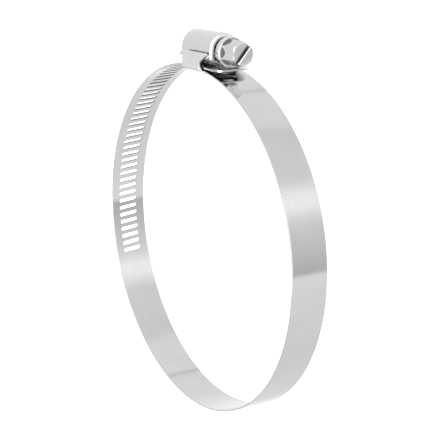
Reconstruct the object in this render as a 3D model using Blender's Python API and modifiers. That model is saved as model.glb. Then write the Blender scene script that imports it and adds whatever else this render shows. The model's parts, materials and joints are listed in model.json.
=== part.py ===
"""Worm-drive hose clamp, open at its largest size and lying on its side.

All sizes are in metres. The ring is drawn round its own centre, RING_CENTRE, which puts the
middle of the whole clamp's footprint at the origin and its lowest side on Z = 0. +Z is the axis
of the hose, +Y runs from the ring's centre to the housing, and +X runs along the screw to its head.
"""

import math

import bmesh
import bpy
from mathutils import Matrix, Vector

MM = 0.001
GAP = 0.3 * MM

# Band: one strip, slotted from its tail to a point a third of the way round.
BAND_WIDTH = 12.7 * MM
BAND_THICK = 0.6 * MM
BAND_EDGE = 0.12 * MM
STRIP_RADIUS = 57.3 * MM
FIXED_RADIUS = 56.45 * MM

# Slots: one thread pitch apart, leaning with the thread.
PITCH = 2.6 * MM
SLOT_LENGTH = 6.8 * MM
SLOT_WIDTH = 1.25 * MM
SLOT_LEAN = math.radians(5.5)
SLOTS_TO_TAIL = 5
SLOTS_TO_BAND = 41

# Where the stretches of the band begin and end, as angles from +X about the ring's centre.
TAIL_FLAT_X = 2.5 * MM
TAIL_END_X = 16.2 * MM
TAIL_CORNER = 3.2 * MM
STRIP_END = math.radians(200.5)
FIXED_START = math.radians(95.5)
FIXED_END = math.radians(78.0)
STRETCHES_A_SIDE = 8

# The sliding lap between the two sides: a tongue in a fork.
LAP_LENGTH = 9.0 * MM
LAP_SHOULDER = 0.4 * MM
LAP_HALF_WIDTH = 3.0 * MM
LAP_SIDE_GAP = 0.35 * MM

# Screw.
SCREW_Y = 62.1 * MM
THREAD_RADIUS = 4.95 * MM
THREAD_ROOT = 3.65 * MM
THREAD_CREST_HALF = 0.36 * MM
THREAD_ROOT_HALF = 0.62 * MM
THREAD_START_X = -3.9 * MM
THREAD_END_X = 8.7 * MM
STEPS_A_TURN = 30
CORE_RADIUS = 4.15 * MM
CORE_START_X = -5.6 * MM
CORE_END_X = 9.3 * MM
NECK_RADIUS = 3.9 * MM
COLLAR_START_X = 13.0 * MM
COLLAR_END_X = 15.1 * MM
COLLAR_RADIUS = 4.8 * MM
CHAMFER = 0.35 * MM
HEX_ACROSS_FLATS = 7.0 * MM
HEX_SUNK = 0.6 * MM
HEX_END_X = 21.7 * MM
HEX_TURN = math.radians(57.0)
HEX_CHAMFER = 0.55 * MM
DRIVER_SLOT_WIDTH = 1.1 * MM
DRIVER_SLOT_DEPTH = 1.7 * MM
DRIVER_SLOT_TURN = math.radians(-41.5)

# Housing: a bent sheet with two end walls.
HOUSING_START_X = -6.6 * MM
HOUSING_END_X = 11.2 * MM
HOUSING_THICK = 0.7 * MM
HOUSING_RADIUS = 5.55 * MM
HOUSING_BEND_Y = 60.95 * MM
HOUSING_BEND = 0.7 * MM
FOOT_HALF_WIDTH = 6.5 * MM
WALL_FOOT_Y = 60.55 * MM
BACK_WALL_X = (-6.5 * MM, -5.9 * MM)
FRONT_WALL_X = (10.3 * MM, 10.95 * MM)
THROAT_RADIUS = 4.3 * MM

# Saddle: a strap under the band whose wings hook over the housing's feet.
SADDLE_THICK = 0.8 * MM
SADDLE_FLOOR_Y = 55.5 * MM
SADDLE_WING_Z = 7.2 * MM
SADDLE_BEND = 1.2 * MM
SADDLE_LIP_Y = 61.5 * MM
SADDLE_LIP_BEND = 0.75 * MM
SADDLE_LIP_END_Z = 6.15 * MM
SADDLE_FLOOR_X = (-2.2 * MM, 7.6 * MM)
SADDLE_WING_X = (-2.8 * MM, 11.2 * MM)

HALF_WIDTH = BAND_WIDTH / 2
FLAT_ANGLE = math.acos(TAIL_FLAT_X / STRIP_RADIUS)
PLAIN_TURN = 2 * math.pi - (STRIP_END - FIXED_END)
TOP_Y = SCREW_Y + HOUSING_RADIUS + HOUSING_THICK / 2
HALF_DEPTH = SADDLE_WING_Z + SADDLE_THICK / 2

# Turns a shape drawn along Z so that it lies along X, its own X then pointing along Y.
ALONG_X = Matrix(((0, 0, 1), (1, 0, 0), (0, 1, 0))).to_4x4()


def span(first, last, count):
    return [first + (last - first) * i / (count - 1) for i in range(count)]


def arc(centre, radius, first, last, count):
    """Points of an arc, its angles counted from the first axis towards the second."""
    return [Vector((centre[0] + radius * math.cos(a), centre[1] + radius * math.sin(a)))
            for a in span(first, last, count)]


def ease(value, low, high):
    share = min(max((value - low) / (high - low), 0.0), 1.0)
    return share * share * (3 - 2 * share)


# ---------------------------------------------------------------- the band's course

def chain_point(turned):
    """The plain band's mid line, for an angle counted back from its fixed end."""
    angle = FIXED_END - turned
    radius = FIXED_RADIUS + (STRIP_RADIUS - FIXED_RADIUS) * ease(turned, 0.0, PLAIN_TURN)
    return Vector((radius * math.cos(angle), radius * math.sin(angle)))


def strip_frame(distance):
    """Point, direction and outward normal on the strip, at a distance along it from its top."""
    flat_from = (math.pi / 2 - FLAT_ANGLE) * STRIP_RADIUS
    curved = min(distance, flat_from)
    angle = math.pi / 2 - curved / STRIP_RADIUS
    normal = Vector((math.cos(angle), math.sin(angle)))
    along = Vector((normal.y, -normal.x))
    return normal * STRIP_RADIUS + along * (distance - curved), along, normal


def ring_centre():
    """The ring's centre, for which the clamp's footprint lies round the origin."""
    points = [chain_point(turned) for turned in span(0.0, PLAIN_TURN, 721)]
    lowest = min(point.y for point in points) - BAND_THICK / 2
    rightmost = max(point.x for point in points) + BAND_THICK / 2
    return Vector(((STRIP_RADIUS + BAND_THICK / 2 - rightmost) / 2, -(TOP_Y + lowest) / 2, HALF_DEPTH))


RING_CENTRE = ring_centre()


# ---------------------------------------------------------------- scene helpers

def clear_scene():
    for obj in list(bpy.data.objects):
        bpy.data.objects.remove(obj, do_unlink=True)
    for collection in list(bpy.data.collections):
        bpy.data.collections.remove(collection)


def make_collection(name, parent, helper=False):
    collection = bpy.data.collections.new(name)
    parent.children.link(collection)
    collection.hide_render = helper
    return collection


def make_material(name, colour, roughness):
    material = bpy.data.materials.new(name)
    material.use_nodes = True
    shader = material.node_tree.nodes["Principled BSDF"]
    shader.inputs["Base Color"].default_value = (*colour, 1.0)
    shader.inputs["Metallic"].default_value = 1.0
    shader.inputs["Roughness"].default_value = roughness
    material.diffuse_color = (*colour, 1.0)
    return material


def place(mesh, name, material=None, origin=(0.0, 0.0, 0.0), collection=None):
    """Links a mesh as a part, or as a cutter where it has no material, its origin in ring coordinates."""
    obj = bpy.data.objects.new(name, mesh)
    obj.location = RING_CENTRE + Vector(origin)
    if material:
        mesh.materials.append(material)
        CLAMP.objects.link(obj)
    else:
        (collection or CUTTERS).objects.link(obj)
        obj.hide_render = True
        obj.display_type = "WIRE"
    return obj


def mesh_of(work, name):
    mesh = bpy.data.meshes.new(name)
    work.to_mesh(mesh)
    work.free()
    return mesh


def apply_modifiers(obj):
    bpy.context.view_layer.update()
    graph = bpy.context.evaluated_depsgraph_get()
    mesh = bpy.data.meshes.new_from_object(obj.evaluated_get(graph))
    old = obj.data
    obj.modifiers.clear()
    obj.data = mesh
    bpy.data.meshes.remove(old)
    mesh.name = obj.name


def add_boolean(obj, operation, other):
    """Joins or cuts with an object, or with every object of a collection."""
    modifier = obj.modifiers.new(other.name, "BOOLEAN")
    modifier.operation = operation
    if isinstance(other, bpy.types.Collection):
        modifier.operand_type = "COLLECTION"
        modifier.collection = other
    else:
        modifier.object = other


def finish(obj, sharp_from=30):
    """Applies a part's modifiers and shades its round faces smooth."""
    apply_modifiers(obj)
    obj.data.shade_smooth()
    obj.data.set_sharp_from_angle(angle=math.radians(sharp_from))


# ---------------------------------------------------------------- shape helpers

def flat_grid(lengths, widths, keep=None):
    """A flat sheet ruled at these lengths (X) and widths (Y), less the cells that keep turns down."""
    work = bmesh.new()
    columns, rows = len(lengths) - 1, len(widths) - 1
    bmesh.ops.create_grid(work, x_segments=columns, y_segments=rows, size=1.0)
    for vert in work.verts:
        i = round((vert.co.x + 1) / 2 * columns)
        j = round((vert.co.y + 1) / 2 * rows)
        vert.co = (lengths[i], widths[j], 0.0)
    if keep:
        cut = [face for face in work.faces if not keep(*face.calc_center_median().xy)]
        bmesh.ops.delete(work, geom=cut, context="FACES")
    return work


def bend_sheet(work, bent, name, thick, material=None, origin=(0.0, 0.0, 0.0)):
    """Bends a flat sheet to bent(length, width) and gives it its thickness."""
    for vert in work.verts:
        vert.co = Vector(bent(vert.co.x, vert.co.y)) - Vector(origin)
    sheet = place(mesh_of(work, name), name, material, origin)
    solidify = sheet.modifiers.new("Thickness", "SOLIDIFY")
    solidify.thickness = thick
    solidify.offset = 0.0
    solidify.use_even_offset = True
    return sheet


def ease_edges(obj):
    bevel = obj.modifiers.new("Eased edges", "BEVEL")
    bevel.width = BAND_EDGE
    bevel.segments = 1
    bevel.limit_method = "ANGLE"
    bevel.angle_limit = math.radians(50)


def turn_profile(name, profile, steps, material=None):
    """A solid turned about the screw's axis from (x, radius) points running from head to tail."""
    work = bmesh.new()
    verts = [work.verts.new((x, radius, 0.0)) for x, radius in profile]
    for pair in zip(verts, verts[1:]):
        work.edges.new(pair)
    turned = place(mesh_of(work, name), name, material, (0.0, SCREW_Y, 0.0))
    screw = turned.modifiers.new("Turn", "SCREW")
    screw.axis = "X"
    screw.steps = screw.render_steps = steps
    screw.use_merge_vertices = True
    screw.merge_threshold = 0.00001
    return turned


def extrude_outline(name, outline, thick):
    """A flat plate from an outline of 2D points, as a mesh about its own middle plane."""
    data = bpy.data.curves.new(name, "CURVE")
    data.dimensions = "2D"
    data.fill_mode = "BOTH"
    data.extrude = thick / 2
    spline = data.splines.new("POLY")
    spline.points.add(len(outline) - 1)
    for point, (x, y) in zip(spline.points, outline):
        point.co = (x, y, 0.0, 1.0)
    spline.use_cyclic_u = True
    curve = bpy.data.objects.new(name, data)
    CUTTERS.objects.link(curve)
    bpy.context.view_layer.update()
    graph = bpy.context.evaluated_depsgraph_get()
    work = bmesh.new()
    work.from_mesh(bpy.data.meshes.new_from_object(curve.evaluated_get(graph)))
    bmesh.ops.remove_doubles(work, verts=work.verts, dist=0.00001 * MM)
    bpy.data.objects.remove(curve)
    return mesh_of(work, name)


# ---------------------------------------------------------------- the band

def slot_outline():
    """A slot's outline, as (along the band, across it), leaning with the thread."""
    half = (SLOT_LENGTH - SLOT_WIDTH) / 2
    round_ends = arc((0, half), SLOT_WIDTH / 2, 0, math.pi, 6)
    round_ends += arc((0, -half), SLOT_WIDTH / 2, math.pi, 2 * math.pi, 6)
    return [(point.x - math.tan(SLOT_LEAN) * point.y, point.y) for point in round_ends]


def make_slot_cutters():
    """One cutter for each slot, all sharing a mesh, square to the strip where it stands."""
    cutters = make_collection("slot_cutters", CUTTERS, helper=True)
    mesh = extrude_outline("slot", slot_outline(), 2 * BAND_THICK)
    for number in range(-SLOTS_TO_BAND, SLOTS_TO_TAIL + 1):
        middle, along, normal = strip_frame(number * PITCH)
        cutter = place(mesh, "cut_slot_%d" % (number + SLOTS_TO_BAND), None, middle.to_3d(), cutters)
        cutter.rotation_euler.z = math.atan2(along.y, along.x)
        cutter.rotation_euler.x = math.pi / 2
    return cutters


def build_slotted_strip():
    start = (math.pi / 2 - STRIP_END) * STRIP_RADIUS + GAP / 2
    flat_from = (math.pi / 2 - FLAT_ANGLE) * STRIP_RADIUS
    end = flat_from + (TAIL_END_X - TAIL_FLAT_X) / math.sin(FLAT_ANGLE)
    work = flat_grid(span(start, flat_from, 44) + [end], (-HALF_WIDTH, HALF_WIDTH))
    corners = [vert for vert in work.verts if vert.co.x > (flat_from + end) / 2]
    bmesh.ops.bevel(work, geom=corners, offset=TAIL_CORNER, segments=6, profile=0.5, affect="VERTICES")

    def bent(distance, width):
        return (*strip_frame(distance)[0], width)

    strip = bend_sheet(work, bent, "band_slotted", BAND_THICK, BAND_STEEL)
    ease_edges(strip)
    add_boolean(strip, "DIFFERENCE", make_slot_cutters())
    finish(strip)


def build_fixed_end():
    work = flat_grid(span(FIXED_START, FIXED_END + GAP / FIXED_RADIUS / 2, 9), (-HALF_WIDTH, HALF_WIDTH))

    def bent(angle, width):
        return (FIXED_RADIUS * math.cos(angle), FIXED_RADIUS * math.sin(angle), width)

    fixed = bend_sheet(work, bent, "band_fixed_end", BAND_THICK, BAND_STEEL)
    ease_edges(fixed)
    finish(fixed)


def build_stretch(name, pivot, turns, widths=(-HALF_WIDTH, HALF_WIDTH), keep=None):
    """A stretch of plain band, hinged at the angle pivot."""
    stretch = bend_sheet(flat_grid(turns, widths, keep), lambda turned, width: (*chain_point(turned), width),
                         name, BAND_THICK, BAND_STEEL, (*chain_point(pivot), 0.0))
    ease_edges(stretch)
    finish(stretch)


def build_tongue_stretch(name, pivot, first, last):
    """The fixed side's last stretch, whose narrow end slides in the other side's fork."""
    radius = chain_point(last).length
    shoulder = last - LAP_SHOULDER / radius
    turns = span(first, shoulder, 9) + span(last, last + LAP_LENGTH / radius, 6)
    widths = (-HALF_WIDTH, -LAP_HALF_WIDTH, LAP_HALF_WIDTH, HALF_WIDTH)
    build_stretch(name, pivot, turns, widths,
                  lambda turned, width: turned < shoulder or abs(width) < LAP_HALF_WIDTH)


def build_fork_stretch(name, pivot, first, last):
    """The slotted side's last stretch, open in the middle for the tongue."""
    inner_end = first + (LAP_LENGTH + GAP) / chain_point(first).length
    turns = span(first, inner_end, 7) + span(inner_end, last, 4)[1:]
    half = LAP_HALF_WIDTH + LAP_SIDE_GAP
    build_stretch(name, pivot, turns, (-HALF_WIDTH, -half, half, HALF_WIDTH),
                  lambda turned, width: turned > inner_end or abs(width) > half)


def build_plain_band():
    """Two runs of stretches, one hinged from the fixed end and one from the slotted strip."""
    step = PLAIN_TURN / (2 * STRETCHES_A_SIDE)
    half = GAP / STRIP_RADIUS / 2
    for k in range(1, STRETCHES_A_SIDE + 1):
        near, far = (k - 1) * step, k * step
        if k < STRETCHES_A_SIDE:
            build_stretch("band_right_%d" % k, near, span(near + half, far - half, 9))
        else:
            build_tongue_stretch("band_right_%d" % k, near, near + half, far - half)
    for k in range(1, STRETCHES_A_SIDE + 1):
        near, far = PLAIN_TURN - (k - 1) * step, PLAIN_TURN - k * step
        if k < STRETCHES_A_SIDE:
            build_stretch("band_left_%d" % k, near, span(far + half, near - half, 9))
        else:
            build_fork_stretch("band_left_%d" % k, near, far + half, near - half)


# ---------------------------------------------------------------- the screw

def make_thread():
    """The worm's ridge: a trapezoid swept along a right-hand helix, its two ends capped."""
    work = bmesh.new()
    section = ((-THREAD_ROOT_HALF, THREAD_ROOT), (-THREAD_CREST_HALF, THREAD_RADIUS),
               (THREAD_CREST_HALF, THREAD_RADIUS), (THREAD_ROOT_HALF, THREAD_ROOT))
    verts = [work.verts.new((THREAD_START_X + x, radius, 0.0)) for x, radius in section]
    for a, b in zip(verts, verts[1:] + verts[:1]):
        work.edges.new((a, b))
    thread = place(mesh_of(work, "add_thread"), "add_thread", None, (0.0, SCREW_Y, 0.0))
    turns = (THREAD_END_X - THREAD_START_X) / PITCH
    helix = thread.modifiers.new("Helix", "SCREW")
    helix.axis = "X"
    helix.angle = turns * 2 * math.pi
    helix.screw_offset = turns * PITCH
    helix.steps = helix.render_steps = round(turns * STEPS_A_TURN)
    apply_modifiers(thread)
    work = bmesh.new()
    work.from_mesh(thread.data)
    bmesh.ops.holes_fill(work, edges=[edge for edge in work.edges if edge.is_boundary], sides=0)
    bmesh.ops.recalc_face_normals(work, faces=work.faces)
    work.to_mesh(thread.data)
    work.free()
    return thread


def make_head():
    """The hexagon, its corners turned off at the end, and its other end sunk in the collar."""
    start = COLLAR_END_X - HEX_SUNK
    radius, length = HEX_ACROSS_FLATS / math.sqrt(3), HEX_END_X - start
    middle = Matrix.Translation(((start + HEX_END_X) / 2, 0, 0))
    work = bmesh.new()
    bmesh.ops.create_cone(work, cap_ends=True, segments=6, radius1=radius, radius2=radius, depth=length,
                          matrix=middle @ ALONG_X @ Matrix.Rotation(HEX_TURN - math.pi / 2, 4, "Z"))
    head = place(mesh_of(work, "add_head"), "add_head", None, (0.0, SCREW_Y, 0.0))
    reach = radius + 0.02 * MM
    profile = ((HEX_END_X, 0.0), (HEX_END_X, reach - HEX_CHAMFER), (HEX_END_X - HEX_CHAMFER, reach),
               (start - CHAMFER, reach), (start - CHAMFER, 0.0))
    add_boolean(head, "INTERSECT", turn_profile("head_envelope", profile, 48))
    return head


def make_driver_slot():
    size = Matrix.Diagonal((2 * DRIVER_SLOT_DEPTH, 2 * HEX_ACROSS_FLATS, DRIVER_SLOT_WIDTH, 1.0))
    turn = Matrix.Rotation(DRIVER_SLOT_TURN, 4, "X")
    work = bmesh.new()
    bmesh.ops.create_cube(work, size=1.0, matrix=Matrix.Translation((HEX_END_X, 0, 0)) @ turn @ size)
    return place(mesh_of(work, "cut_driver_slot"), "cut_driver_slot", None, (0.0, SCREW_Y, 0.0))


def build_screw():
    profile = (
        (COLLAR_END_X, 0.0), (COLLAR_END_X, COLLAR_RADIUS - CHAMFER), (COLLAR_END_X - CHAMFER, COLLAR_RADIUS),
        (COLLAR_START_X + CHAMFER, COLLAR_RADIUS), (COLLAR_START_X, COLLAR_RADIUS - CHAMFER),
        (COLLAR_START_X, NECK_RADIUS), (CORE_END_X + CHAMFER, NECK_RADIUS), (CORE_END_X, CORE_RADIUS),
        (CORE_START_X + CHAMFER, CORE_RADIUS), (CORE_START_X, CORE_RADIUS - CHAMFER), (CORE_START_X, 0.0),
    )
    screw = turn_profile("screw", profile, 48, SCREW_STEEL)
    add_boolean(screw, "UNION", make_thread())
    add_boolean(screw, "UNION", make_head())
    add_boolean(screw, "DIFFERENCE", make_driver_slot())
    finish(screw)


# ---------------------------------------------------------------- housing and saddle

def housing_path():
    """Mid line of the housing's sheet, from one foot over the dome to the other, as (y, z)."""
    bend_z = HOUSING_RADIUS + HOUSING_BEND
    half = [Vector((HOUSING_BEND_Y - HOUSING_BEND, FOOT_HALF_WIDTH))]
    half += arc((HOUSING_BEND_Y, bend_z), HOUSING_BEND, math.pi, 1.5 * math.pi, 6)
    half += arc((SCREW_Y, 0.0), HOUSING_RADIUS, math.pi / 2, 0.0, 13)
    return half + [Vector((point.x, -point.y)) for point in reversed(half[:-1])]


def make_end_wall(name, ends):
    """A plate that closes the arch between two places along X."""
    outline = [(WALL_FOOT_Y, HOUSING_RADIUS), (WALL_FOOT_Y, -HOUSING_RADIUS)]
    outline += [tuple(point) for point in arc((SCREW_Y, 0.0), HOUSING_RADIUS, -math.pi / 2, math.pi / 2, 24)]
    mesh = extrude_outline(name, outline, ends[1] - ends[0])
    mesh.transform(Matrix.Translation(((ends[0] + ends[1]) / 2, 0, 0)) @ ALONG_X)
    return place(mesh, name)


def make_throat():
    work = bmesh.new()
    middle = Matrix.Translation((HOUSING_END_X, SCREW_Y, 0))
    bmesh.ops.create_cone(work, cap_ends=True, segments=48, radius1=THROAT_RADIUS, radius2=THROAT_RADIUS,
                          depth=4 * HOUSING_THICK, matrix=middle @ ALONG_X)
    return place(mesh_of(work, "cut_throat"), "cut_throat")


def build_housing():
    path = housing_path()
    work = flat_grid(range(len(path)), (HOUSING_START_X, HOUSING_END_X))
    housing = bend_sheet(work, lambda i, x: (x, *path[round(i)]), "housing", HOUSING_THICK, HOUSING_STEEL)
    add_boolean(housing, "UNION", make_end_wall("add_back_wall", BACK_WALL_X))
    add_boolean(housing, "UNION", make_end_wall("add_front_wall", FRONT_WALL_X))
    add_boolean(housing, "DIFFERENCE", make_throat())
    finish(housing)


def saddle_path():
    """Mid line of the saddle's strap, from one lip over the housing's foot to the other, as (y, z)."""
    lip = (SADDLE_LIP_Y - SADDLE_LIP_BEND, SADDLE_WING_Z - SADDLE_LIP_BEND)
    floor = (SADDLE_FLOOR_Y + SADDLE_BEND, SADDLE_WING_Z - SADDLE_BEND)
    half = [Vector((SADDLE_LIP_Y, SADDLE_LIP_END_Z))]
    half += arc(lip, SADDLE_LIP_BEND, 0.0, math.pi / 2, 6)
    half += [Vector((y, SADDLE_WING_Z)) for y in span(lip[0], floor[0], 6)[1:-1]]
    half += arc(floor, SADDLE_BEND, math.pi / 2, math.pi, 6)
    half += [Vector((SADDLE_FLOOR_Y, z)) for z in (4.0 * MM, 2.0 * MM)]
    return half + [Vector((SADDLE_FLOOR_Y, 0.0))] + [Vector((point.x, -point.y)) for point in reversed(half)]


def build_saddle():
    """A strap that follows the ring under the band and widens up its wings."""
    path = saddle_path()

    def bent(i, share):
        y, z = path[round(i)]
        widened = ease(y, SADDLE_FLOOR_Y + SADDLE_BEND, SADDLE_LIP_Y)
        first, last = (floor + (wing - floor) * widened for floor, wing in zip(SADDLE_FLOOR_X, SADDLE_WING_X))
        x = first + (last - first) * share
        under = 1 - ease(y, SADDLE_FLOOR_Y, SADDLE_LIP_Y)
        return (x, y - under * (SADDLE_FLOOR_Y - math.sqrt(SADDLE_FLOOR_Y ** 2 - x * x)), z)

    work = flat_grid(range(len(path)), span(0.0, 1.0, 9))
    finish(bend_sheet(work, bent, "saddle", SADDLE_THICK, SADDLE_STEEL))


clear_scene()
CLAMP = make_collection("hose_clamp", bpy.context.scene.collection)
CUTTERS = make_collection("cutters", bpy.context.scene.collection, helper=True)
BAND_STEEL = make_material("band_steel", (0.66, 0.66, 0.65), 0.28)
HOUSING_STEEL = make_material("housing_steel", (0.62, 0.62, 0.61), 0.32)
SADDLE_STEEL = make_material("saddle_steel", (0.60, 0.60, 0.59), 0.35)
SCREW_STEEL = make_material("screw_steel", (0.55, 0.55, 0.55), 0.30)
build_housing()
build_saddle()
build_screw()
build_fixed_end()
build_slotted_strip()
build_plain_band()
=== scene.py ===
"""Looks of the worm-drive hose clamp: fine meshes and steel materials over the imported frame."""

import json
import math

import bmesh
import bpy
import numpy as np
from mathutils import Matrix, Vector

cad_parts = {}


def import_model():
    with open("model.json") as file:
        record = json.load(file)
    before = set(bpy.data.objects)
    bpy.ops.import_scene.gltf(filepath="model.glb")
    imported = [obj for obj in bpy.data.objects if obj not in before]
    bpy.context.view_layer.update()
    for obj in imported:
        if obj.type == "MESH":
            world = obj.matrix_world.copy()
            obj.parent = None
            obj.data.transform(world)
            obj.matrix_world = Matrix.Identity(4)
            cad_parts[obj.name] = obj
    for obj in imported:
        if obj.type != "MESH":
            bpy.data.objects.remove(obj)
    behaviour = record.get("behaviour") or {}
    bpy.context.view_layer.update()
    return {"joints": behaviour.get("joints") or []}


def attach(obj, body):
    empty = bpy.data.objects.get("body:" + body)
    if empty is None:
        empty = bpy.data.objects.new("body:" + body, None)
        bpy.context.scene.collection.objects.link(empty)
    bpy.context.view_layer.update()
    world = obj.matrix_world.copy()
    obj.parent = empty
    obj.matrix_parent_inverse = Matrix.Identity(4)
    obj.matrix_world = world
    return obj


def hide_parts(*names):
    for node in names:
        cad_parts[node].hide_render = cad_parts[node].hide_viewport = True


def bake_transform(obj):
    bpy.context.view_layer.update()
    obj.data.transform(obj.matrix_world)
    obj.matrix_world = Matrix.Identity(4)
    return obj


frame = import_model()
JOINTS = {joint["name"]: joint for joint in frame["joints"]}

MM = 0.001
RING = Vector(JOINTS["band_feed"]["pos_m"])
SCREW_Y = (JOINTS["screw_turn"]["pos_m"][1] - RING.y) / MM

# Sizes in millimetres, in ring coordinates: X along the screw to its head, Y to the housing.
# The band: its section, the mid line's radii, and the angles of its slotted and fixed ends.
HALF_WIDTH, THICK, EDGE = 6.35, 0.6, 0.12
STRIP_RADIUS, FIXED_RADIUS = 57.3, 56.45
STRIP_END, FIXED_START, FIXED_END = (math.radians(a) for a in (200.5, 95.5, 78.0))
PLAIN_TURN = 2 * math.pi - (STRIP_END - FIXED_END)
STRETCHES = 8
STEP = PLAIN_TURN / (2 * STRETCHES)
STATION_ANGLE = math.radians(0.35)
LAP_TONGUE = {"half_width": 6.1, "thick": 0.36}
TONGUE_BEFORE, TONGUE_AFTER = 1.0, 8.6
# The slots, and the grid lines that the wide faces have beside them.
PITCH, SLOT_HALF_LENGTH, SLOT_HALF_WIDTH, SLOT_EASE = 2.6, 3.4, 0.61, 0.07
SLOT_LEAN = math.tan(math.radians(5.5))
FIRST_SLOT, LAST_SLOT = -41, 5
FACE_EDGE, EDGE_INSET = HALF_WIDTH - EDGE, 0.12
SIDE_LINE, EDGE_LINE = 5.2, FACE_EDGE - EDGE_INSET
# The strip's tail, and the distances along the strip from its top where its mesh starts and ends.
TAIL_FLAT_X, TAIL_END_X, TAIL_CORNER = 2.5, 16.2, 3.2
FLAT_ANGLE = math.acos(TAIL_FLAT_X / STRIP_RADIUS)
STRIP_BLEND_FROM, STRIP_MESH_END = -108.8, 19.0
# The screw.
CORE_START, CORE_RADIUS, NECK_RADIUS = -5.6, 4.1, 3.86
COLLAR, COLLAR_RADIUS, HEAD_END = (13.0, 15.1), 4.85, 21.7
WORM_START, WORM_END, WORM_ROOT = -3.9, 8.7, 3.7
ACROSS_FLATS, HEX_TURN = 7.0, 57
DRIVER_SLOT_DEPTH, DRIVER_SLOT_HALF, DRIVER_SLOT_TURN = 1.7, 0.55, math.radians(-41.5)
TURN_STEPS = 96
# The housing and the saddle.
HOUSING_START, HOUSING_END, HOUSING_OUTER, HOUSING_INNER = -6.6, 11.2, 5.75, 5.2
HOUSING_FOOT = 60.0
SADDLE_LIP, SADDLE_WING, SADDLE_FLOOR, SADDLE_THICK = 61.55, 7.3, 55.83, 0.6
# How far the inner faces' texture lies from the outer ones', so that their grain differs.
INNER_SHIFT = 20


# ---------------------------------------------------------------- mesh helpers

def world(x, y, z):
    return RING + Vector((x, y, z)) * MM


def new_object(name, points, faces, material, uvs=None, weld=0.0, cut=None):
    """A mesh object from points in ring millimetres, with one (u, v) a point in metres if given.

    The faces numbered in cut get dark steel, partly the duller metal of a punched edge, partly painted shade.
    """
    work = bmesh.new()
    layer = work.loops.layers.uv.new("UVMap") if uvs else None
    verts = [work.verts.new(world(*point)) for point in points]
    for number, face in enumerate(faces):
        made = work.faces.new([verts[i] for i in face])
        made.smooth = True
        made.material_index = 1 if cut and number in cut else 0
        if uvs:
            for loop, index in zip(made.loops, face):
                loop[layer].uv = uvs[index]
    if weld:
        bmesh.ops.remove_doubles(work, verts=work.verts, dist=weld * MM)
    bmesh.ops.recalc_face_normals(work, faces=work.faces)
    mesh = bpy.data.meshes.new(name)
    work.to_mesh(mesh)
    work.free()
    mesh.materials.append(material)
    if cut:
        mesh.materials.append(CUT_EDGE_SHADE)
    obj = bpy.data.objects.new(name, mesh)
    bpy.context.scene.collection.objects.link(obj)
    return obj


def sharpen(obj, degrees=38):
    obj.data.set_sharp_from_angle(angle=math.radians(degrees))


def apply_modifiers(obj):
    bpy.context.view_layer.update()
    graph = bpy.context.evaluated_depsgraph_get()
    mesh = bpy.data.meshes.new_from_object(obj.evaluated_get(graph))
    obj.modifiers.clear()
    old = obj.data
    obj.data = mesh
    bpy.data.meshes.remove(old)
    for polygon in mesh.polygons:
        polygon.use_smooth = True


def apply_boolean(obj, other, operation):
    modifier = obj.modifiers.new("cut", "BOOLEAN")
    modifier.operation = operation
    modifier.solver = "EXACT"
    modifier.material_mode = "TRANSFER"
    modifier.object = other
    apply_modifiers(obj)
    bpy.data.objects.remove(other)


def bevel(obj, width, segments=2, degrees=40, highlighted=False):
    """Rounds the edges, which get the brighter steel of a painted highlight if highlighted is set."""
    modifier = obj.modifiers.new("edges", "BEVEL")
    modifier.width = width * MM
    modifier.segments = segments
    modifier.limit_method = "ANGLE"
    modifier.angle_limit = math.radians(degrees)
    if highlighted:
        obj.data.materials.append(PAINTED_HIGHLIGHT)
        modifier.material = len(obj.data.materials) - 1
    apply_modifiers(obj)


def repaint(obj, material, chosen):
    """Gives another steel to the faces that chosen picks by their middle, in ring millimetres."""
    mesh = obj.data
    mesh.materials.append(material)
    for polygon in mesh.polygons:
        if chosen(*((polygon.center - RING) / MM)):
            polygon.material_index = len(mesh.materials) - 1


def span(first, last, count):
    return [first + (last - first) * i / (count - 1) for i in range(count)]


def ease(value, low, high):
    """From 0 at low to 1 at high, level at both ends."""
    share = min(max((value - low) / (high - low), 0.0), 1.0)
    return share * share * (3 - 2 * share)


def arc(centre, radius, first, last, count):
    return [(centre[0] + radius * math.cos(a), centre[1] + radius * math.sin(a))
            for a in span(first, last, count)]


# ---------------------------------------------------------------- the band's course

def chain_radius(turned):
    return FIXED_RADIUS + (STRIP_RADIUS - FIXED_RADIUS) * ease(turned, 0, PLAIN_TURN)


def chain_point(turned):
    angle, radius = FIXED_END - turned, chain_radius(turned)
    return Vector((radius * math.cos(angle), radius * math.sin(angle)))


def chain_normal(turned):
    step = 1e-4
    along = chain_point(turned + step) - chain_point(turned - step)
    return Vector((-along.y, along.x)).normalized()


def band_section(half_width, thick):
    """Points round the band's section as (outward, z), its long edges rounded."""
    out, high = thick / 2, half_width - EDGE
    corners = ((out - EDGE, high, 0), (EDGE - out, high, 1), (EDGE - out, -high, 2), (out - EDGE, -high, 3))
    section = [(out, -high + EDGE_INSET), (out, high - EDGE_INSET)]
    for middle, z, quarter in corners:
        first = quarter * math.pi / 2
        section += arc((middle, z), EDGE, first, first + math.pi / 2, 5)
        if quarter == 1:
            section += [(-out, high - EDGE_INSET), (-out, -high + EDGE_INSET)]
    return section


def sweep(name, turns, caps=(False, False), half_width=HALF_WIDTH, thick=THICK):
    """A run of plain band through stations given as angles turned back from the fixed end."""
    section = band_section(half_width, thick)
    points, uvs, faces, size = [], [], [], len(section)
    for turned in turns:
        place, normal = chain_point(turned), chain_normal(turned)
        for out, z in section:
            points.append((place.x + normal.x * out, place.y + normal.y * out, z))
            uvs.append((turned * STRIP_RADIUS * MM, (z + (out < 0) * INNER_SHIFT) * MM))
    for i in range(len(turns) - 1):
        for j in range(size):
            a, b = i * size + j, i * size + (j + 1) % size
            faces.append([a, a + size, b + size, b])
    last = (len(turns) - 1) * size
    if caps[0]:
        faces.append(list(range(size)))
    if caps[1]:
        faces.append([last + j for j in reversed(range(size))])
    obj = new_object(name, points, faces, BAND, uvs)
    sharpen(obj)
    return obj


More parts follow.
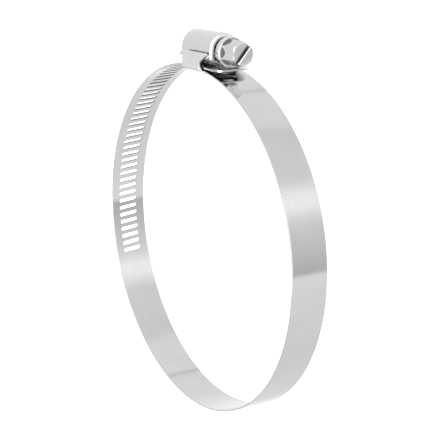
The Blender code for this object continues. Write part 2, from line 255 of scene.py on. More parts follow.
# ---------------------------------------------------------------- the slotted strip

def strip_place(distance, out, z):
    """A point on the strip, at a distance along it from its top towards the tail."""
    flat_from = (math.pi / 2 - FLAT_ANGLE) * STRIP_RADIUS
    curved = min(distance, flat_from)
    angle = math.pi / 2 - curved / STRIP_RADIUS
    nx, ny = math.cos(angle), math.sin(angle)
    run = distance - curved
    return (nx * (STRIP_RADIUS + out) + ny * run, ny * (STRIP_RADIUS + out) - nx * run, z)


class StripMesh:
    """Collects the strip's points and faces from cells drawn in leaning coordinates (u, v)."""

    def __init__(self):
        self.points, self.uvs, self.faces, self.cut = [], [], [], set()

    def add(self, distance, v, out):
        self.points.append(strip_place(distance, out, v))
        self.uvs.append((-distance * MM, (v + (out < 0) * INNER_SHIFT) * MM))
        return len(self.points) - 1

    def rows(self, rows):
        """Quads between rows of equal length, each row a list of (distance, v, out)."""
        index = [[self.add(*point) for point in row] for row in rows]
        for a, b in zip(index, index[1:]):
            for i in range(len(a) - 1):
                self.faces.append([a[i], a[i + 1], b[i + 1], b[i]])

    def ring(self, rings):
        self.rows([list(ring) + [ring[0]] for ring in rings])


def end_angles():
    """Angles round half a turn, in 12 segments."""
    return [math.radians(15 * i) for i in range(13)]


def side_points(u, first, last):
    """Points down one side of a slot or its cell, in 6 segments, without the ends."""
    return [(u, v) for v in span(first, last, 7)[1:-1]]


def stadium(half_length, half_width):
    """A slot's outline as (u, v)."""
    top = half_length - half_width
    points = [(half_width * math.cos(a), top + half_width * math.sin(a)) for a in end_angles()]
    points += side_points(-half_width, top, -top)
    points += [(-half_width * math.cos(a), -top - half_width * math.sin(a)) for a in end_angles()]
    return points + side_points(half_width, -top, top)


def cell_frame():
    """The cell's outline as (u, v), in step with the points of stadium()."""
    top, half = SLOT_HALF_LENGTH - SLOT_HALF_WIDTH, PITCH / 2
    end = []
    for a in end_angles():
        reach = half / max(abs(math.cos(a)), abs(math.sin(a)))
        end.append((reach * math.cos(a), top + reach * math.sin(a)))
    points = end + side_points(-half, top, -top) + [(-u, -v) for u, v in end]
    return points + side_points(half, -top, top)


def frame_rows():
    """The v of each grid line across the band, from one edge of the wide face to the other."""
    side = sorted({round(v, 6) for u, v in cell_frame() if u > PITCH / 2 - 1e-6})
    return [-FACE_EDGE, -EDGE_LINE, -SIDE_LINE] + side + [SIDE_LINE, EDGE_LINE, FACE_EDGE]


def edge_arc(sign):
    """The band's rounded long edge as (v, out), from the outer face to the inner one."""
    out = THICK / 2 - EDGE
    front = arc((FACE_EDGE, out), EDGE, math.pi / 2, 0, 5)
    back = arc((FACE_EDGE, -out), EDGE, 0, -math.pi / 2, 5)
    return [(sign * v, o) for v, o in front + back]


def add_plain_grid(strip, left, right, steps):
    """Unslotted band between two lines across it, each given by its distance at a row's v."""
    def row(v, out):
        return [(left(v) + (right(v) - left(v)) * t, v, out) for t in span(0, 1, steps)]

    for face in (THICK / 2, -THICK / 2):
        strip.rows([row(v, face) for v in frame_rows()])
    for sign in (1, -1):
        strip.rows([row(v, out) for v, out in edge_arc(sign)])


def add_slot_cell(strip, number):
    """One slot and the band round it, from cell to cell along the strip and from edge to edge."""
    centre, out = number * PITCH, THICK / 2

    def at(u, v, o):
        return (centre + u - SLOT_LEAN * v, v, o)

    border = cell_frame()
    lips = [stadium(SLOT_HALF_LENGTH + w, SLOT_HALF_WIDTH + w) for w in (SLOT_EASE, SLOT_EASE * 0.3, 0.0)]
    depths = (out, out - SLOT_EASE * 0.3, out - SLOT_EASE)
    rings = [[at(u, v, out) for u, v in border]]
    rings += [[at(u, v, d) for u, v in lip] for lip, d in zip(lips, depths)]
    rings += [[at(u, v, -d) for u, v in lip] for lip, d in zip(reversed(lips), reversed(depths))]
    rings += [[at(u, v, -out) for u, v in border]]
    # The slot's walls get dark steel, partly punched metal, partly painted shade inside the slot.
    first_wall = len(strip.faces) + 2 * len(border)
    strip.ring(rings)
    strip.cut.update(range(first_wall, first_wall + 3 * len(border)))
    # The part of the cell's outline between two of its corners, from which its ends run to the edges.
    across = [u for u, v in border[3:10]]
    lines = (SLOT_HALF_LENGTH - SLOT_HALF_WIDTH + PITCH / 2, SIDE_LINE, EDGE_LINE, FACE_EDGE)
    for sign in (1, -1):
        for face in (out, -out):
            strip.rows([[at(u, sign * v, face) for u in across] for v in lines])
        strip.rows([[at(u, v, o) for u in across] for v, o in edge_arc(sign)])


def tail_cutter():
    """A block past the rounded tail, to take from the strip."""
    reach, beyond, above, hair = 9.0, 4, 2, 0.002
    length = (math.pi / 2 - FLAT_ANGLE) * STRIP_RADIUS + (TAIL_END_X - TAIL_FLAT_X) / math.sin(FLAT_ANGLE)
    start = length - TAIL_CORNER
    outline = [(start, reach), (start, HALF_WIDTH + hair)]
    outline += arc((start, HALF_WIDTH - TAIL_CORNER), TAIL_CORNER + hair, math.pi / 2, 0, 14)[1:]
    outline += [(s, -v) for s, v in reversed(outline)]
    outline += [(length + beyond, -reach), (length + beyond, reach)]
    points = [strip_place(s, o, v) for o in (-above, above) for s, v in outline]
    count = len(outline)
    faces = [[i, (i + 1) % count, (i + 1) % count + count, i + count] for i in range(count)]
    faces += [list(reversed(range(count))), list(range(count, 2 * count))]
    return new_object("tail_cut", points, faces, BAND)


def set_strip_normals(obj):
    """Gives the strip's wide faces the exact normals of the surface they lie on."""
    wide_cosine = 0.995
    mesh = obj.data
    centre = np.array(RING[:])
    normals = [(0.0, 0.0, 0.0)] * len(mesh.loops)
    for polygon in mesh.polygons:
        for index in polygon.loop_indices:
            point = np.array(mesh.vertices[mesh.loops[index].vertex_index].co[:]) - centre
            angle = max(math.atan2(point[1], point[0]) % (2 * math.pi), FLAT_ANGLE)
            normal = (math.cos(angle), math.sin(angle), 0.0)
            side = normal[0] * polygon.normal.x + normal[1] * polygon.normal.y
            if abs(side) > wide_cosine:
                normals[index] = tuple(math.copysign(1, side) * n for n in normal)
    mesh.normals_split_custom_set(normals)


def build_slotted_strip():
    strip = StripMesh()
    for number in range(FIRST_SLOT, LAST_SLOT + 1):
        add_slot_cell(strip, number)
    first, last = (FIRST_SLOT - 0.5) * PITCH, (LAST_SLOT + 0.5) * PITCH
    add_plain_grid(strip, lambda v: STRIP_BLEND_FROM, lambda v: first - SLOT_LEAN * v, 5)
    add_plain_grid(strip, lambda v: last - SLOT_LEAN * v, lambda v: STRIP_MESH_END, 8)
    obj = new_object("strip_slotted", strip.points, strip.faces, BAND, strip.uvs, weld=0.002, cut=strip.cut)
    close_holes(obj)
    apply_boolean(obj, tail_cutter(), "DIFFERENCE")
    open_start(obj)
    sharpen(obj, 50)
    set_strip_normals(obj)
    ride(obj, "slotted_band", "band_steel", "band_slotted")


def close_holes(obj):
    """Caps both ends of the strip, because the boolean needs a closed mesh."""
    work = bmesh.new()
    work.from_mesh(obj.data)
    rim = [edge for edge in work.edges if edge.is_boundary]
    bmesh.ops.holes_fill(work, edges=rim, sides=0)
    bmesh.ops.recalc_face_normals(work, faces=work.faces)
    work.to_mesh(obj.data)
    work.free()


def open_start(obj):
    """Takes off the cap where the strip runs on into the plain band."""
    fewest_corners, near = 20, 1.5 * MM
    work = bmesh.new()
    work.from_mesh(obj.data)
    middle = world(*strip_place(STRIP_BLEND_FROM, 0, 0))
    caps = [face for face in work.faces
            if len(face.verts) > fewest_corners and (face.calc_center_median() - middle).length < near]
    bmesh.ops.delete(work, geom=caps, context="FACES_ONLY")
    work.to_mesh(obj.data)
    work.free()


def ride(obj, body, slot, *nodes):
    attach(obj, body)
    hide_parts(*nodes)


# ---------------------------------------------------------------- the plain band

def turns_between(first, last):
    return span(first, last, max(3, int(abs(last - first) / STATION_ANGLE) + 2))


def bend_between(obj, a, b, start, end, *nodes):
    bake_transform(obj)
    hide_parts(*nodes)


def build_fixed_side():
    start = FIXED_END - FIXED_START
    obj = sweep("band_fixed", turns_between(start, -STEP / 2), caps=(True, False))
    ride(obj, "clamp_housing", "band_steel", "band_fixed_end")
    for k in range(1, STRETCHES + 1):
        first, last = (k - 1.5) * STEP, (k - 0.5) * STEP
        before = "clamp_housing" if k == 1 else "right_%d" % (k - 1)
        nodes = ["band_right_%d" % n for n in (k - 1, k) if n > 0]
        obj = sweep("band_bend_right_%d" % k, turns_between(first, last))
        bend_between(obj, before, "right_%d" % k, first, last, *nodes)
    first, last = (STRETCHES - 0.5) * STEP, STRETCHES * STEP
    obj = sweep("band_lap_outer", turns_between(first, last), caps=(False, True))
    ride(obj, "right_8", "band_steel", "band_right_8")
    turns = turns_between(last - TONGUE_BEFORE / STRIP_RADIUS, last + TONGUE_AFTER / STRIP_RADIUS)
    obj = sweep("band_lap_tongue", turns, caps=(True, True), **LAP_TONGUE)
    ride(obj, "right_8", "band_steel", "band_right_8")


def build_left_side():
    joint = 2 * STRETCHES * STEP
    strip_from = joint + STRIP_BLEND_FROM / STRIP_RADIUS + STRIP_END - math.pi / 2
    for k in range(1, STRETCHES + 1):
        pivot = (2 * STRETCHES + 1 - k) * STEP
        first, last = pivot + STEP / 2, pivot - STEP / 2
        if k == 1:
            first = strip_from
        before = "slotted_band" if k == 1 else "left_%d" % (k - 1)
        nodes = ["band_left_%d" % n for n in (k - 1, k) if n > 0]
        obj = sweep("band_bend_left_%d" % k, turns_between(last, first))
        bend_between(obj, before, "left_%d" % k, first, last, *nodes)
    first, last = STRETCHES * STEP, (STRETCHES + 0.5) * STEP
    obj = sweep("band_lap_inner", turns_between(first, last), caps=(True, False))
    ride(obj, "left_8", "band_steel", "band_left_8")


# ---------------------------------------------------------------- turned and pressed shapes

def round_screw(x, radius, angle):
    return (x, SCREW_Y + radius * math.cos(angle), radius * math.sin(angle))


def lathe(name, profile, material):
    """A solid turned about the screw's axis from (x, radius) points that start and end on it."""
    steps = TURN_STEPS
    points = [(profile[0][0], SCREW_Y, 0.0)]
    for x, radius in profile[1:-1]:
        points += [round_screw(x, radius, 2 * math.pi * i / steps) for i in range(steps)]
    points.append((profile[-1][0], SCREW_Y, 0.0))
    faces, rings = [], len(profile) - 2
    for i in range(steps):
        after, end = (i + 1) % steps, 1 + (rings - 1) * steps
        faces.append([0, 1 + after, 1 + i])
        faces.append([len(points) - 1, end + i, end + after])
        for ring in range(rings - 1):
            a = 1 + ring * steps
            faces.append([a + i, a + after, a + steps + after, a + steps + i])
    return new_object(name, points, faces, material)


def prism(name, outline, x0, x1, material):
    """A prism along X from an outline of (y, z) corners."""
    count = len(outline)
    points = [(x, y, z) for x in (x0, x1) for y, z in outline]
    faces = [[i, (i + 1) % count, (i + 1) % count + count, i + count] for i in range(count)]
    faces += [list(reversed(range(count))), list(range(count, 2 * count))]
    return new_object(name, points, faces, material)


def thread_ridge():
    """The worm: a ridge with rounded crests winding as a right-hand helix, tapering out at its ends."""
    steps, depth, taper_turns = 40, 0.82, 0.3
    count = int((WORM_END - WORM_START) / PITCH * steps)
    points, faces = [], []
    for i in range(count + 1):
        x = WORM_START + PITCH * i / steps
        angle = 2 * math.pi * x / PITCH + math.pi
        grow = min(1.0, 0.1 + min(i, count - i) / (steps * taper_turns))
        crest = CORE_RADIUS + depth * grow
        for dx, radius in ((-0.66, WORM_ROOT), (-0.42, crest - 0.12), (-0.26, crest),
                           (0.26, crest), (0.42, crest - 0.12), (0.66, WORM_ROOT)):
            points.append(round_screw(x + dx, radius, angle))
    for i in range(count):
        for j in range(6):
            a, b = i * 6 + j, i * 6 + (j + 1) % 6
            faces.append([a, a + 6, b + 6, b])
    last = count * 6
    faces += [list(range(6)), [last + j for j in reversed(range(6))]]
    return new_object("worm", points, faces, SCREW)


def highlighted_on_screw(x, y, z):
    """The collar's two rims and the turned corners of the hexagon, which get a painted highlight."""
    radius = math.hypot(y - SCREW_Y, z)
    on_rim = radius > COLLAR_RADIUS - 0.2 and min(abs(x - end) for end in COLLAR) < 0.4
    return on_rim or (x > HEAD_END - 0.75 and radius > 3.45)


def driver_slot(x0, half0, x1, half1, material):
    """A wedge across the head, to cut the driver slot and then to take off its sharp edges."""
    reach = 6.0
    along = Vector((math.cos(DRIVER_SLOT_TURN), math.sin(DRIVER_SLOT_TURN)))
    side = Vector((-along.y, along.x))
    points = []
    for x, half in ((x0, half0), (x1, half1)):
        for a, b in ((-reach, -half), (reach, -half), (reach, half), (-reach, half)):
            place = along * a + side * b
            points.append((x, SCREW_Y + place.x, place.y))
    faces = [[i, (i + 1) % 4, (i + 1) % 4 + 4, i + 4] for i in range(4)] + [[3, 2, 1, 0], [4, 5, 6, 7]]
    return new_object("driver_slot", points, faces, material)


def turned_core():
    """The worm's core, the neck and the collar, whose front face is hollow beside its rim."""
    start, front = COLLAR
    neck_from, rim = 9.15, COLLAR_RADIUS - 0.35
    core = [(CORE_START, 0), (CORE_START, 3.5), (CORE_START + 0.15, 3.85), (CORE_START + 0.4, 4.05),
            (CORE_START + 0.6, CORE_RADIUS), (neck_from, CORE_RADIUS), (neck_from + 0.15, 3.95),
            (neck_from + 0.3, NECK_RADIUS), (start - 0.3, NECK_RADIUS), (start - 0.1, 3.95), (start, 4.1),
            (start, rim)]
    core += arc((start + 0.35, rim), 0.35, math.pi, math.pi / 2, 6)[1:]
    core += arc((front - 0.35, rim), 0.35, math.pi / 2, 0, 8)
    core += [(front - 0.02, 4.38), (front - 0.16, 4.28), (front - 0.2, 4.15), (front - 0.2, 0)]
    return lathe("screw_turned", core, SCREW)


def hexagon_head():
    """The hexagon, chamfered in the lathe, with a conical root painted dark as shade beside the collar, and
    the driver slot.
    """
    root, end, radius = COLLAR[1], HEAD_END, ACROSS_FLATS / math.sqrt(3)
    corners = [math.radians(HEX_TURN + 60 * i) for i in range(6)]
    hexagon = [(SCREW_Y + radius * math.cos(a), radius * math.sin(a)) for a in corners]
    head = prism("hex", hexagon, root - 0.5, end, SCREW)
    bevel(head, 0.09)
    chamfer = [(COLLAR[0], 0), (COLLAR[0], 6.0), (end - 1.6, 6.0), (end - 0.46, 4.1), (end - 0.1, 3.62),
               (end - 0.03, 3.5), (end, 3.36), (end, 0)]
    apply_boolean(head, lathe("chamfer", chamfer, SCREW), "INTERSECT")
    # The root between the hexagon and the collar is painted dark as shade.
    cone = [(root - 0.5, 0), (root - 0.5, 4.02), (root - 0.2, 4.02), (root + 0.3, 3.86), (root + 1.0, 3.64),
            (root + 1.7, 3.46), (root + 1.7, 0)]
    apply_boolean(head, lathe("root", cone, PAINTED_SHADE_ROOT), "UNION")
    half = DRIVER_SLOT_HALF
    # The driver slot's inside is painted dark as shade, and its chamfered rim and the bevelled edges get a
    # painted highlight.
    apply_boolean(head, driver_slot(end - DRIVER_SLOT_DEPTH, half, end + 1.4, half, CUT_EDGE_SHADE), "DIFFERENCE")
    apply_boolean(head, driver_slot(end - 0.25, half - 0.03, end + 0.1, half + 0.38, PAINTED_HIGHLIGHT), "DIFFERENCE")
    bevel(head, 0.1, degrees=50, highlighted=True)
    return head


def build_screw():
    screw = turned_core()
    apply_boolean(screw, thread_ridge(), "UNION")
    apply_boolean(screw, hexagon_head(), "UNION")
    # The collar's rims and the hexagon's corners get a painted highlight.
    repaint(screw, PAINTED_HIGHLIGHT, highlighted_on_screw)
    sharpen(screw, 32)
    ride(screw, "screw", "screw_steel", "screw")


def arch(radius):
    """The (y, z) points of an arch over the screw, from one foot to the other."""
    rise = span(HOUSING_FOOT, SCREW_Y, 4)[:-1]
    crown = arc((SCREW_Y, 0), radius, -math.pi / 2, math.pi / 2, 41)
    return [(y, -radius) for y in rise] + crown + [(y, radius) for y in reversed(rise)]


def housing_profile():
    """The housing's sheet as (x, radius): outside from the back to the throat, then back inside."""
    back, front, outer, inner = HOUSING_START, HOUSING_END, HOUSING_OUTER, HOUSING_INNER
    back_round, mouth_round, lip_round, inner_round = 0.75, 1.15, 0.2, 0.55
    throat, wall, middle = 4.3, 0.6, 2.0
    profile = [(back, 0.0), (back, 2.5), (back, 4.4)]
    profile += arc((back + back_round, outer - back_round), back_round, math.pi, math.pi / 2, 9)
    profile += [(back + 1.6, outer), (middle, outer), (front - 2.0, outer)]
    profile += arc((front - mouth_round, outer - mouth_round), mouth_round, math.pi / 2, 0, 13)
    profile += arc((front - lip_round, throat + lip_round), lip_round, 0, -math.pi / 2, 5)
    profile += [(front - 0.65, throat), (front - 0.75, throat + 0.2)]
    profile += arc((front - 0.75 - inner_round, inner - inner_round), inner_round, 0, math.pi / 2, 7)
    profile += [(middle, inner), (back + 2 * wall, inner), (back + wall, inner - 0.5), (back + wall, 2.5)]
    return profile + [(back + wall, 0.0)]


def housing_foot(side):
    """A foot's section as (y, z): a hollow round from the dome's side, then a flange under the lip."""
    sole, flange, root, fillet = 59.95, 60.6, 60.9, 0.4
    inside, reach, toe = HOUSING_INNER + 0.2, HOUSING_OUTER + fillet, 6.55
    outline = [(sole, inside), (sole, toe), (flange, toe), (flange, reach), (root, reach)]
    outline += arc((root + fillet, reach), fillet, math.pi, 1.5 * math.pi, 7)[1:]
    outline += [(root + fillet, inside)]
    return [(y, z * side) for y, z in outline]


def highlighted_on_mouth(x, y, z):
    """The rounded rim of the housing's mouth, which gets a painted highlight."""
    return x > HOUSING_END - 0.85 and math.hypot(y - SCREW_Y, z) > 4.6


def build_housing():
    profile = housing_profile()
    points, faces = [], []
    for x, radius in profile:
        points += [(x, y, z) for y, z in arch(radius)]
    rows = len(profile)
    size = len(points) // rows
    for i in range(rows - 1):
        for j in range(size - 1):
            a = i * size + j
            faces.append([a, a + 1, a + size + 1, a + size])
    faces.append([i * size for i in range(rows)])
    faces.append([i * size + size - 1 for i in reversed(range(rows))])
    shell = new_object("housing_shell", points, faces, HOUSING, weld=0.0005)
    # The mouth's rim gets a painted highlight.
    repaint(shell, PAINTED_HIGHLIGHT, highlighted_on_mouth)
    sharpen(shell, 40)
    ride(shell, "clamp_housing", "housing_steel", "housing")
    for name, side in (("left", -1), ("right", 1)):
        start, end = HOUSING_START + 0.3, HOUSING_END - 0.6
        foot = prism("housing_foot_" + name, housing_foot(side), start, end, HOUSING)
        bevel(foot, 0.1)
        sharpen(foot)
        ride(foot, "clamp_housing", "housing_steel", "housing")


def saddle_path():
    """Mid line of the saddle's sheet as (y, z), from one folded lip under the band to the other."""
    bend_lip, bend_floor, lip_end = 0.45, 1.9, 6.78
    top, bottom = SADDLE_LIP - bend_lip, SADDLE_FLOOR + bend_floor
    half = [(SADDLE_LIP, lip_end)] + arc((top, SADDLE_WING - bend_lip), bend_lip, 0, math.pi / 2, 9)
    half += [(y, SADDLE_WING) for y in span(top, bottom, 13)[1:-1]]
    half += arc((bottom, SADDLE_WING - bend_floor), bend_floor, math.pi / 2, math.pi, 13)
    half += [(SADDLE_FLOOR, z) for z in (4.0, 2.6, 1.3)]
    return half + [(SADDLE_FLOOR, 0.0)] + [(y, -z) for y, z in reversed(half)]


def sheared_and_shaded_on_saddle(x, y, z):
    """The sheared ends of the lips, painted dark as shade that the dome mirrors as a dark crease above them.
    """
    return y > SADDLE_LIP - 0.4 and abs(z) < 6.8


def saddle_ends(y):
    """Where the sheet ends in X: the wing flares from the floor up to the lip, more so at the head."""
    head_end = 8.3 - 0.8 * ease(y, 56.2, 57.6) + 3.9 * ease(y, 58.0, 61.6)
    return -2.2 - 0.6 * ease(y, 56.4, 58.2), head_end


def build_saddle():
    path, count, thick = saddle_path(), 41, SADDLE_THICK
    points, faces = [], []
    for side in (0.5, -0.5):
        for i, (y, z) in enumerate(path):
            before, after = path[max(i - 1, 0)], path[min(i + 1, len(path) - 1)]
            along = Vector((after[0] - before[0], after[1] - before[1])).normalized()
            y0, z0 = y - along.y * thick * side, z + along.x * thick * side
            under = 1 - ease(y, SADDLE_FLOOR, SADDLE_FLOOR + 3.5)
            for x in span(*saddle_ends(y), count):
                drop = under * (SADDLE_FLOOR - math.sqrt(SADDLE_FLOOR ** 2 - x * x))
                points.append((x, y0 - drop, z0))
    rows, size = len(path), len(path) * count
    for i in range(rows - 1):
        for j in range(count - 1):
            a = i * count + j
            faces += [[a, a + 1, a + 1 + count, a + count],
                      [a + size, a + size + count, a + size + 1 + count, a + size + 1]]
        a, b = i * count, i * count + count - 1
        faces += [[a, a + count, a + count + size, a + size], [b, b + size, b + count + size, b + count]]
    for j in range(count - 1):
        a, b = j, (rows - 1) * count + j
        faces += [[a, a + size, a + 1 + size, a + 1], [b, b + 1, b + 1 + size, b + size]]
    saddle = new_object("saddle_strap", points, faces, SADDLE)
    # The lips' sheared ends are painted dark as shade, and the rounded edges get a painted highlight.
    repaint(saddle, CUT_EDGE_SHADE, sheared_and_shaded_on_saddle)
    bevel(saddle, 0.13, 3, 60, highlighted=True)
    sharpen(saddle, 40)
    ride(saddle, "clamp_housing", "saddle_steel", "saddle")


# ---------------------------------------------------------------- materials

PATCH_SCALE, SPECKLE_SCALE = 140.0, 2600.0
NOISE_MIDDLE = (0.3, 0.7)
DARKER, LIGHTER = 0.93, 1.04
RELIEF_DEPTH = 0.00002


def steel(name, colour, rough, spread, grain, bump, use_uv=False):
    """Bright steel: streaked grain, patches of tint and roughness, and fine scratches as bump."""
    material = bpy.data.materials.new(name)
    material.use_nodes = True
    nodes, links = material.node_tree.nodes, material.node_tree.links
    shader = nodes["Principled BSDF"]
    shader.inputs["Metallic"].default_value = 1.0
    source = nodes.new("ShaderNodeTexCoord").outputs["UV" if use_uv else "Object"]

    def noise(scale, detail, stretch=(1, 1, 1)):
        mapping = nodes.new("ShaderNodeMapping")
        mapping.inputs["Scale"].default_value = stretch
        links.new(source, mapping.inputs["Vector"])
        texture = nodes.new("ShaderNodeTexNoise")
        texture.inputs["Scale"].default_value = scale
        texture.inputs["Detail"].default_value = detail
        links.new(mapping.outputs["Vector"], texture.inputs["Vector"])
        return texture.outputs["Fac"]

    def remap(value, low, high):
        """Spreads the middle of a noise's range over low to high."""
        node = nodes.new("ShaderNodeMapRange")
        node.inputs["From Min"].default_value, node.inputs["From Max"].default_value = NOISE_MIDDLE
        node.inputs["To Min"].default_value, node.inputs["To Max"].default_value = low, high
        links.new(value, node.inputs["Value"])
        return node.outputs["Result"]

    def add(a, b):
        node = nodes.new("ShaderNodeMath")
        node.operation = "ADD"
        links.new(a, node.inputs[0])
        links.new(b, node.inputs[1])
        return node.outputs["Value"]

    streaks = noise(1.0, 4.0, grain)
    patches = noise(PATCH_SCALE, 5.0)
    speckle = noise(SPECKLE_SCALE, 2.0)
    tint = nodes.new("ShaderNodeMix")
    tint.data_type = "RGBA"
    tint.inputs["A"].default_value = (*[c * DARKER for c in colour], 1.0)
    tint.inputs["B"].default_value = (*[min(1.0, c * LIGHTER) for c in colour], 1.0)
    links.new(add(remap(streaks, 0.0, 0.6), remap(patches, 0.0, 0.4)), tint.inputs["Factor"])
    links.new(tint.outputs["Result"], shader.inputs["Base Color"])
    streaked = remap(streaks, rough - spread, rough + spread)
    links.new(add(streaked, remap(patches, -spread, spread)), shader.inputs["Roughness"])
    relief = nodes.new("ShaderNodeBump")
    relief.inputs["Strength"].default_value = bump
    relief.inputs["Distance"].default_value = RELIEF_DEPTH
    links.new(add(streaks, remap(speckle, 0.0, 0.35)), relief.inputs["Height"])
    links.new(relief.outputs["Normal"], shader.inputs["Normal"])
    return material


# Dark steel: partly the duller metal of punched and sheared edges, partly painted shade in slots and under
# the saddle's lips.
CUT_EDGE_SHADE = steel("punched_edge_painted_shade", (0.30, 0.30, 0.305), 0.38, 0.06, (600, 600, 600), 0.3)
# Painted shade at the hexagon's root.
PAINTED_SHADE_ROOT = steel("painted_shade_steel_root", (0.26, 0.26, 0.265), 0.2, 0.05, (600, 600, 600), 0.2)
# Brighter steel for painted highlights on rims, rounded edges and corners.
PAINTED_HIGHLIGHT = steel("painted_highlight_steel_edge", (0.93, 0.93, 0.925), 0.16, 0.04, (90, 1800, 1800), 0.1)
BAND = steel("band_bright_steel", (0.765, 0.765, 0.76), 0.09, 0.02, (60, 7000, 1), 0.12, use_uv=True)
HOUSING = steel("housing_pressed_steel", (0.82, 0.82, 0.815), 0.24, 0.05, (120, 900, 900), 0.16)
SADDLE = steel("saddle_pressed_steel", (0.87, 0.87, 0.865), 0.26, 0.05, (120, 900, 900), 0.16)
SCREW = steel("screw_turned_steel", (0.80, 0.80, 0.80), 0.22, 0.05, (2600, 300, 300), 0.25)

build_slotted_strip()
build_fixed_side()
build_left_side()
build_screw()
build_housing()
build_saddle()


# ---------------------------------------------------------------- studio

FLOOR_HALF, FLOOR_TONES, FLOOR_GLOW = 3.0, (0.90, 0.92), 0.6
# The camera: its direction from the ring's centre in degrees, and its place along its own axes in mm.
CAMERA_TURN, CAMERA_RAISE, CAMERA_SPIN = 58.18, 15.325, -1.5
CAMERA_BACK, CAMERA_RIGHT, CAMERA_UP = 448.9, 3.56, 5.18
LENS, SENSOR_WIDTH = 111.12, 36.0
OVERHEAD_POWER, OVERHEAD_HEIGHT, OVERHEAD_SIZE = 14.0, 1.2, 0.9
# A soft box above the head's end: its direction, its tone and the cosines of its faded rim.
BOX_DIRECTION, BOX_TONE, BOX_RIM = (0.80, 0.0, 0.60), 3.2, (0.86, 0.94)
# The tent's greyer top, which upward edges mirror and so stand out from the white floor.
CROWN_TONE, CROWN_RIM = 0.55, (0.82, 0.96)
# The heights between which the tent changes from its lower part to its upper one.
HORIZON = (-0.25, 0.15)
# Azimuth in degrees, brightness: below, a grey card, a bright strip and a darker panel between white
# cloth; above, brighter cloth on the head's side.
TENT_BELOW = (
    (-180, 1.04), (-158, 1.02), (-140, 0.98), (-128, 0.84), (-75, 0.78), (-30, 0.85), (-19, 0.90),
    (-17, 0.54), (-5, 0.64), (14, 0.78), (20, 0.88), (27, 1.10), (34, 1.08), (44, 0.80), (80, 0.76),
    (87, 0.86), (116, 0.87), (118, 0.62), (120, 0.85), (148, 0.88), (165, 0.98), (180, 1.04),
)
TENT_ABOVE = (
    (-180, 0.80), (-150, 0.84), (-120, 0.80), (-95, 0.62), (-60, 0.50), (-25, 0.80), (10, 1.0), (30, 1.3),
    (74, 1.3), (92, 0.70), (120, 0.78), (150, 0.84), (180, 0.80),
)


def build_floor():
    material = bpy.data.materials.new("studio_floor")
    material.use_nodes = True
    nodes, links = material.node_tree.nodes, material.node_tree.links
    shader = nodes["Principled BSDF"]
    texture = nodes.new("ShaderNodeTexNoise")
    texture.inputs["Scale"].default_value = 6.0
    ramp = nodes.new("ShaderNodeMapRange")
    ramp.inputs["To Min"].default_value, ramp.inputs["To Max"].default_value = FLOOR_TONES
    links.new(texture.outputs["Fac"], ramp.inputs["Value"])
    links.new(ramp.outputs["Result"], shader.inputs["Base Color"])
    shader.inputs["Roughness"].default_value = 0.9
    shader.inputs["Emission Color"].default_value = (1, 1, 1, 1)
    shader.inputs["Emission Strength"].default_value = FLOOR_GLOW
    mesh = bpy.data.meshes.new("floor")
    half = FLOOR_HALF
    corners = [(-half, -half, 0), (half, -half, 0), (half, half, 0), (-half, half, 0)]
    mesh.from_pydata(corners, [], [[0, 1, 2, 3]])
    mesh.materials.append(material)
    floor = bpy.data.objects.new("floor", mesh)
    bpy.context.scene.collection.objects.link(floor)
    # The band mirrors the tent through the floor, so that no contact shade darkens it.
    floor.visible_glossy = False


def build_camera():
    """Looks at the clamp from its upper side and its head's end, with its +Y up in the picture."""
    turn, lift, spin = (math.radians(angle) for angle in (CAMERA_TURN, CAMERA_RAISE, CAMERA_SPIN))
    back = Vector((math.sin(turn) * math.cos(lift), math.sin(lift), math.cos(turn) * math.cos(lift)))
    right = (-back).cross(Vector((0, 1, 0))).normalized()
    up = right.cross(-back)
    about = Matrix.Rotation(spin, 3, "Z")
    back, right, up = about @ back, about @ right, about @ up
    place = RING + (back * CAMERA_BACK + right * CAMERA_RIGHT + up * CAMERA_UP) * MM
    data = bpy.data.cameras.new("camera")
    data.lens, data.sensor_width = LENS, SENSOR_WIDTH
    data.clip_start, data.clip_end = 0.01, 20.0
    camera = bpy.data.objects.new("camera", data)
    rotation = Matrix((right, up, back)).transposed()
    camera.matrix_world = Matrix.Translation(place) @ rotation.to_4x4()
    bpy.context.scene.collection.objects.link(camera)
    bpy.context.scene.camera = camera


def build_overhead():
    data = bpy.data.lights.new("overhead", "AREA")
    data.shape = "SQUARE"
    data.size = OVERHEAD_SIZE
    data.energy = OVERHEAD_POWER
    light = bpy.data.objects.new("overhead", data)
    light.location = (0.0, 0.0, OVERHEAD_HEIGHT)
    bpy.context.scene.collection.objects.link(light)
    # Steel mirrors the tent only, so that its upward faces keep their tone.
    light.visible_glossy = False


def grey(tone):
    return (tone, tone, tone, 1.0)


def tone_ramp(nodes, stops):
    """A grey colour ramp round the horizon, from stops of (azimuth in degrees, brightness)."""
    ramp = nodes.new("ShaderNodeValToRGB")
    elements = ramp.color_ramp.elements
    for azimuth, tone in stops[1:-1]:
        elements.new((azimuth + 180) / 360).color = grey(tone)
    for element, (azimuth, tone) in ((elements[0], stops[0]), (elements[len(stops) - 1], stops[-1])):
        element.position = (azimuth + 180) / 360
        element.color = grey(tone)
    return ramp


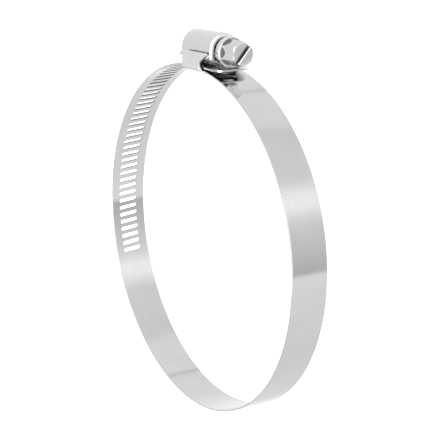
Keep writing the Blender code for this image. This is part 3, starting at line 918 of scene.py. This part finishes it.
def build_tent():
    """A white light tent: panels of different tones, a greyer crown and a soft box, for steel to mirror."""
    studio = bpy.data.worlds.new("studio")
    bpy.context.scene.world = studio
    studio.use_nodes = True
    nodes, links = studio.node_tree.nodes, studio.node_tree.links

    def share(value, limits, interpolation="SMOOTHSTEP"):
        """From 0 at the lower limit to 1 at the upper one."""
        node = nodes.new("ShaderNodeMapRange")
        node.interpolation_type = interpolation
        node.inputs["From Min"].default_value, node.inputs["From Max"].default_value = limits
        links.new(value, node.inputs["Value"])
        return node.outputs["Result"]

    def mix(factor, tent, other):
        node = nodes.new("ShaderNodeMix")
        node.data_type = "RGBA"
        links.new(factor, node.inputs["Factor"])
        links.new(tent, node.inputs["A"])
        if isinstance(other, float):
            node.inputs["B"].default_value = grey(other)
        else:
            links.new(other, node.inputs["B"])
        return node.outputs["Result"]

    direction = nodes.new("ShaderNodeTexCoord").outputs["Generated"]
    parts = nodes.new("ShaderNodeSeparateXYZ")
    links.new(direction, parts.inputs["Vector"])
    azimuth = nodes.new("ShaderNodeMath")
    azimuth.operation = "ARCTAN2"
    links.new(parts.outputs["Y"], azimuth.inputs[0])
    links.new(parts.outputs["X"], azimuth.inputs[1])
    round_horizon = share(azimuth.outputs["Value"], (-math.pi, math.pi), "LINEAR")
    below, above = tone_ramp(nodes, TENT_BELOW), tone_ramp(nodes, TENT_ABOVE)
    for ramp in (below, above):
        links.new(round_horizon, ramp.inputs["Fac"])
    height = parts.outputs["Z"]
    tent = mix(share(height, HORIZON), below.outputs["Color"], above.outputs["Color"])
    tent = mix(share(height, CROWN_RIM), tent, CROWN_TONE)
    facing_box = nodes.new("ShaderNodeVectorMath")
    facing_box.operation = "DOT_PRODUCT"
    facing_box.inputs[1].default_value = BOX_DIRECTION
    links.new(direction, facing_box.inputs[0])
    tent = mix(share(facing_box.outputs["Value"], BOX_RIM), tent, BOX_TONE)
    links.new(tent, nodes["Background"].inputs["Color"])


bpy.context.scene.view_settings.view_transform = "Standard"
build_floor()
build_camera()
build_tent()
build_overhead()
bpy.context.view_layer.update()
